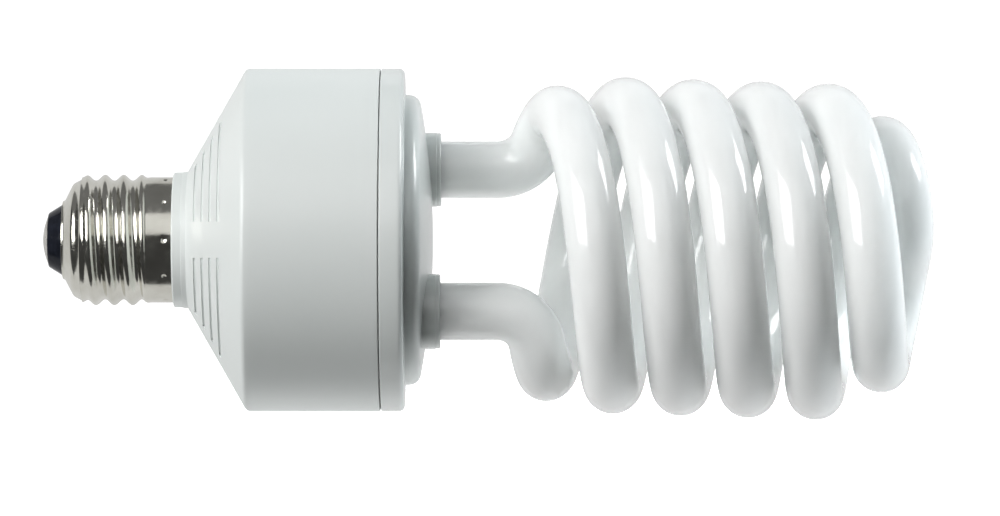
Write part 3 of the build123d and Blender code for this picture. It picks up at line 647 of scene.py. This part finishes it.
# the parts inside the housing keep their CAD meshes: dark colour, light colour, patch, roughness, sockets
insideLooks = {
    "cement": ((0.62, 0.58, 0.50), (0.78, 0.75, 0.68), 400.0, (0.8, 0.95), {}),
    "board": ((0.30, 0.20, 0.08), (0.42, 0.30, 0.13), 180.0, (0.45, 0.6), {}),
    "sleeve": ((0.70, 0.69, 0.62), (0.85, 0.84, 0.78), 600.0, (0.6, 0.8), {}),
    "wire_jacket": ((0.05, 0.05, 0.05), (0.09, 0.09, 0.09), 500.0, (0.35, 0.5), {}),
    "can_sleeve": ((0.012, 0.016, 0.030), (0.03, 0.035, 0.055), 300.0, (0.25, 0.4), {}),
    "bobbin_plastic": ((0.55, 0.52, 0.42), (0.70, 0.67, 0.56), 300.0, (0.4, 0.55), {}),
    "ferrite": ((0.035, 0.035, 0.038), (0.08, 0.08, 0.085), 700.0, (0.55, 0.75), {}),
    "copper": ((0.55, 0.22, 0.09), (0.72, 0.34, 0.16), 900.0, (0.25, 0.4), {"Metallic": 1.0}),
    "thermistor_ceramic": ((0.30, 0.12, 0.05), (0.42, 0.18, 0.08), 500.0, (0.5, 0.7), {}),
    "diode_glass": ((0.35, 0.10, 0.05), (0.50, 0.16, 0.08), 500.0, (0.08, 0.15), {"Coat Weight": 0.5}),
    "tinned_wire": ((0.60, 0.60, 0.58), (0.78, 0.78, 0.76), 900.0, (0.2, 0.35), {"Metallic": 1.0}),
    "transistor_moulding": ((0.010, 0.010, 0.010), (0.025, 0.025, 0.025), 800.0, (0.5, 0.65), {}),
    "film_dip": ((0.45, 0.06, 0.03), (0.60, 0.10, 0.05), 300.0, (0.15, 0.3), {"Coat Weight": 0.4}),
    "resistor_lacquer": ((0.50, 0.36, 0.22), (0.64, 0.48, 0.31), 500.0, (0.35, 0.5), {}),
}
insideGrain = 3  # how much finer the grain is than the patches
insideDepth = 0.02
insideFinishes = {}
for slotName, (dark, light, patch, roughness, sockets) in insideLooks.items():
    look = {"dark": dark, "light": light, "patch": patch, "grain": patch * insideGrain,
            "roughness": roughness, "depth": insideDepth, "shader": sockets}
    insideFinishes[slotName] = plainFinish(slotName, look)
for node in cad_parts.values():
    for place, old in enumerate(node.data.materials):
        if old and old.name in insideLooks:
            node.data.materials[place] = insideFinishes[old.name]
print("finished the inside parts")

# jacketed wire from the shell's wall through the sleeve to the board, clear of the thread's roots
neutralLead = {
    "radius": 0.75,
    "startX": -14.0,
    "endX": 37.7,
    "wallZ": -10.8,
    "sleeveZ": -9.45,
    "boardY": 0.4,
    "boardZ": -12.6,
    "intoSleeve": (-12.5, -7.0),  # X where it bends
    "toBoard": (12.0, 24.0),
    "rings": 120,
    "spokes": 20,
}


# with e1 and e2 the eased steps of x over both bends, y = boardY e2 and z = wall + (sleeve - wall) e1 +
# (board - sleeve) e2; every ring is centre + radius (cos s n + sin s b), and a pole closes each end
def wireSkin(cut):
    x = np.linspace(cut["startX"], cut["endX"], cut["rings"])
    into, over = eased(x, *cut["intoSleeve"]), eased(x, *cut["toBoard"])
    z = cut["wallZ"] + (cut["sleeveZ"] - cut["wallZ"]) * into + (cut["boardZ"] - cut["sleeveZ"]) * over
    centre = np.stack([x, cut["boardY"] * over, z], -1)
    heading = np.gradient(centre, axis=0)
    heading /= np.linalg.norm(heading, axis=1)[:, None]
    spoke = np.array([0, 1.0, 0]) - heading * heading[:, 1:2]
    spoke /= np.linalg.norm(spoke, axis=1)[:, None]
    other = np.cross(heading, spoke)
    s = circleAngles(cut["spokes"])[None, :, None]
    rings = centre[:, None] + cut["radius"] * (np.cos(s) * spoke[:, None] + np.sin(s) * other[:, None])
    poles = centre[[0, -1], None] + 0 * s
    return skin(np.concatenate([poles[:1], rings, poles[1:]]))


putPiece("neutralLead", [wireSkin(neutralLead)], insideFinishes["wire_jacket"],
         "neutral_lead")


# floor, backdrop, room and camera, all sizes in metres
studio = {
    "floorDrop": 0.0004,  # of the floor below the lowest point
    "floorReach": 5.0,  # from the origin to each side
    "floorColour": 0.93,
    "floorGlow": 1.05,
    "backdropWidth": 8.0,
    "backdropHeight": 5.0,
    "backdropDistance": 2.2,
    "backdropColour": 0.1,
    "backdropGlow": 1.15,
    "paperRoughness": 0.9,
    "roomGlow": 0.05,
    "cameraX": 0.0652,
    "cameraDistance": 1.29,
    "cameraZ": -0.0036,
    "sensorWidth": 36.0,  # millimetres, as is the lens
    "lens": 232.2,
    "middleX": 0.07,  # of the lamp, which lights and panels face
    "lightDistance": 1.4,
    "panelDistance": 1.0,
}

# soft lights that reflections don't show, each by its azimuth from the viewer to the right, its elevation,
# its width, its power in watts and its coolness, how much red it lacks
studioLights = {
    "keyLeft": (-46.0, 25.0, 0.6, 17.2, 0.0),
    "frontLeft": (-15.0, 25.0, 0.6, 3.6, 0.0),
    "lowLeft": (-57.0, -43.0, 0.6, 4.0, 0.0),
    "right": (95.0, 25.0, 0.6, 10.6, 0.10),
    "lowRight": (105.0, -14.0, 0.6, 12.0, 0.10),
    "highBack": (120.0, 60.0, 0.6, 6.0, 0.08),
    "lowBack": (180.0, -50.0, 0.6, 10.6, 0.0),
}

# glowing panels that only reflections show, each by its azimuth, elevation, width, height and glow
studioPanels = {
    "keyPanel": (-48.0, 18.0, 0.70, 0.70, 7.5),
    "rightStrip": (94.0, 38.0, 0.34, 0.40, 10.0),
    "frontPanel": (0.0, 30.0, 1.00, 0.72, 0.9),
    "topPanel": (0.0, 88.0, 3.0, 1.6, 0.17),
    "backPanel": (180.0, -18.0, 8.0, 6.2, 0.7),
}


# a sheet of grey, glowing paper between four corners, which is no part of the lamp
def stagePlane(name, corners, grey, glow):
    finish, tree, shader = newFinish(name)
    shader.inputs["Base Color"].default_value = (grey, grey, grey, 1)
    shader.inputs["Roughness"].default_value = studio["paperRoughness"]
    shader.inputs["Specular IOR Level"].default_value = 0.0
    shader.inputs["Emission Color"].default_value = (1, 1, 1, 1)
    shader.inputs["Emission Strength"].default_value = glow
    mesh = bpy.data.meshes.new(name)
    mesh.from_pydata(corners, [], [(0, 1, 2, 3)])
    mesh.materials.append(finish)
    plane = bpy.data.objects.new(name, mesh)
    bpy.context.scene.collection.objects.link(plane)
    return plane


signs = ((-1, -1), (1, -1), (1, 1), (-1, 1))  # of a sheet's corners, in order round it
reach, floorZ = studio["floorReach"], cadBox[0][2] - studio["floorDrop"]
floorCorners = [(x * reach, y * reach, floorZ) for x, y in signs]
floorPlane = stagePlane("floor", floorCorners, studio["floorColour"], studio["floorGlow"])
floorPlane.visible_diffuse = floorPlane.visible_glossy = floorPlane.visible_shadow = False

wide, high = studio["backdropWidth"] / 2, studio["backdropHeight"] / 2
backCorners = [(x * wide, studio["backdropDistance"], z * high) for x, z in signs]
backdrop = stagePlane("backdrop", backCorners, studio["backdropColour"], studio["backdropGlow"])
backdrop.visible_camera = backdrop.visible_glossy = False

world = bpy.data.worlds.new("room")
bpy.context.scene.world = world
world.use_nodes = True
room = world.node_tree.nodes["Background"]
room.inputs["Color"].default_value = (1, 1, 1, 1)
ray = addNode(world.node_tree, "LightPath")
strength = addNode(world.node_tree, "MapRange", {"Value": ray.outputs["Is Camera Ray"]})
strength.inputs["To Min"].default_value = studio["roomGlow"]  # the lamp is lit by a dim room
strength.inputs["To Max"].default_value = studio["backdropGlow"]  # and the camera sees white paper
world.node_tree.links.new(strength.outputs["Result"], room.inputs["Strength"])


# the direction at azimuth a and elevation e is (sin a cos e, -cos a cos e, sin e), seen from the middle
def placeAt(azimuth, elevation, distance):
    a, e = math.radians(azimuth), math.radians(elevation)
    level = distance * math.cos(e)
    return Vector((studio["middleX"] + level * math.sin(a), -level * math.cos(a), distance * math.sin(e)))


# the turn that points -Z from a place to the middle, with Y up
def faceLamp(place):
    return (Vector((studio["middleX"], 0, 0)) - place).to_track_quat("-Z", "Y")


for name, (azimuth, elevation, width, power, coolness) in studioLights.items():
    lamp = bpy.data.lights.new(name, "AREA")
    lamp.size, lamp.energy = width, power
    lamp.color = (1 - coolness, 1 - coolness / 3, 1)  # green lacks a third of what red lacks
    light = bpy.data.objects.new(name, lamp)
    bpy.context.scene.collection.objects.link(light)
    light.location = placeAt(azimuth, elevation, studio["lightDistance"])
    light.rotation_euler = faceLamp(light.location).to_euler()
    light.visible_camera = light.visible_glossy = False

for name, (azimuth, elevation, width, height, glow) in studioPanels.items():
    place = placeAt(azimuth, elevation, studio["panelDistance"])
    corners = [place + faceLamp(place) @ Vector((x * width / 2, z * height / 2, 0)) for x, z in signs]
    panel = stagePlane(name, corners, 0.0, glow)
    panel.visible_camera = panel.visible_diffuse = panel.visible_shadow = False

camera = bpy.data.objects.new("camera", bpy.data.cameras.new("camera"))
bpy.context.scene.collection.objects.link(camera)
camera.location = (studio["cameraX"], -studio["cameraDistance"], studio["cameraZ"])
camera.rotation_euler = (math.radians(90), 0, 0)  # level, along +Y
camera.data.sensor_width = studio["sensorWidth"]
camera.data.lens = studio["lens"]
bpy.context.scene.camera = camera
bpy.context.scene.view_settings.view_transform = "Standard"
print("camera and lights placed")

bpy.context.view_layer.update()
